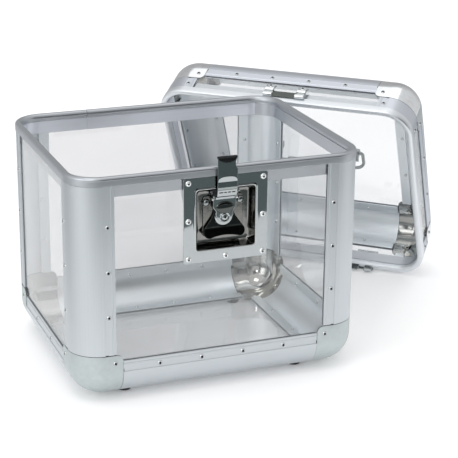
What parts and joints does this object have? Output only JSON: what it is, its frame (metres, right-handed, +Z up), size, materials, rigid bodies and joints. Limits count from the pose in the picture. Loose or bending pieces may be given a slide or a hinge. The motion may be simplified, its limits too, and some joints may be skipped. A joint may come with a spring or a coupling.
{
  "type": "transparent record carry case",
  "caption": "Clear-panelled carry case with metal edge extrusions, ball corners and a recessed turn latch, standing open with its lift-off lid leaning on a back corner.",
  "frame": {"origin": "middle of the whole footprint, case and leaning lid together, on the plane the case stands on", "axes": "+X to the right along the case's width, +Y to the back, +Z up"},
  "size_m": [0.675, 0.5863, 0.3264],
  "materials": {
    "extrusion": "satin anodised, fine lengthwise drawing lines",
    "ball_corner": "smooth, nearly polished pressed sheet",
    "clear_panel": "clear acrylic sheet, glossy",
    "chrome": "bright plated sheet",
    "rubber": "matte black",
    "grip": "soft satin sleeve"
  },
  "bodies": {
    "case": {"ball_corner_bl": "ball_corner", "ball_corner_br": "ball_corner", "ball_corner_fl": "ball_corner", "ball_corner_fr": "ball_corner", "floor_panel": "clear_panel", "foot_bl": "rubber", "foot_br": "rubber", "foot_fl": "rubber", "foot_fr": "rubber", "hinge_socket_left": "chrome", "hinge_socket_right": "chrome", "latch_base": "chrome", "latch_dish": "chrome", "panel_back": "clear_panel", "panel_front": "clear_panel", "panel_left": "clear_panel", "panel_right": "clear_panel", "post_bl": "extrusion", "post_br": "extrusion", "post_fl": "extrusion", "post_fr": "extrusion", "rail_back": "extrusion", "rail_front": "extrusion", "rail_left": "extrusion", "rail_right": "extrusion", "rim_frame": "extrusion"},
    "latch_wing": {"latch_disc": "chrome", "latch_wing": "chrome"},
    "latch_yoke": {"latch_yoke": "chrome"},
    "latch_hook": {"latch_hook": "chrome"},
    "lid": {"lid_ball_corner_bl": "ball_corner", "lid_ball_corner_br": "ball_corner", "lid_ball_corner_fl": "ball_corner", "lid_ball_corner_fr": "ball_corner", "lid_handle_bracket_left": "chrome", "lid_handle_bracket_right": "chrome", "lid_hinge_tongue_left": "chrome", "lid_hinge_tongue_right": "chrome", "lid_keeper": "chrome", "lid_panel_back": "clear_panel", "lid_panel_front": "clear_panel", "lid_panel_left": "clear_panel", "lid_panel_right": "clear_panel", "lid_panel_top": "clear_panel", "lid_post_bl": "extrusion", "lid_post_br": "extrusion", "lid_post_fl": "extrusion", "lid_post_fr": "extrusion", "lid_rail_back": "extrusion", "lid_rail_front": "extrusion", "lid_rail_left": "extrusion", "lid_rail_right": "extrusion", "lid_rim_frame": "extrusion"},
    "lid_handle": {"lid_handle_bail": "chrome", "lid_handle_grip": "grip"}
  },
  "joints": [
    {"name": "wing_turn", "type": "hinge", "parent": "case", "child": "latch_wing", "pos_m": [-0.13508, -0.28595, 0.2373], "axis": [0, 1, 0], "range_deg": [0, 60]},
    {"name": "hook_lift", "type": "slide", "parent": "case", "child": "latch_yoke", "axis": [0, 0, 1], "range_m": [-0.0099, 0]},
    {"name": "hook_swing", "type": "hinge", "parent": "latch_yoke", "child": "latch_hook", "pos_m": [-0.13508, -0.28435, 0.2725], "axis": [1, 0, 0], "range_deg": [0, 80]},
    {"name": "lid_tip", "type": "hinge", "parent": "case", "child": "lid", "pos_m": [0.15745, 0.1211, 0.00261], "axis": [-0.7379, 0.6749, 0], "range_deg": [0, 25]},
    {"name": "handle_swing", "type": "hinge", "parent": "lid", "child": "lid_handle", "pos_m": [0.18382, 0.13807, 0.18391], "axis": [0.7379, -0.6749, 0], "range_deg": [0, 150]}
  ],
  "couplings": [
    {"joint": "wing_turn", "follows": "hook_lift", "rad_per_m": -105.26}
  ]
}
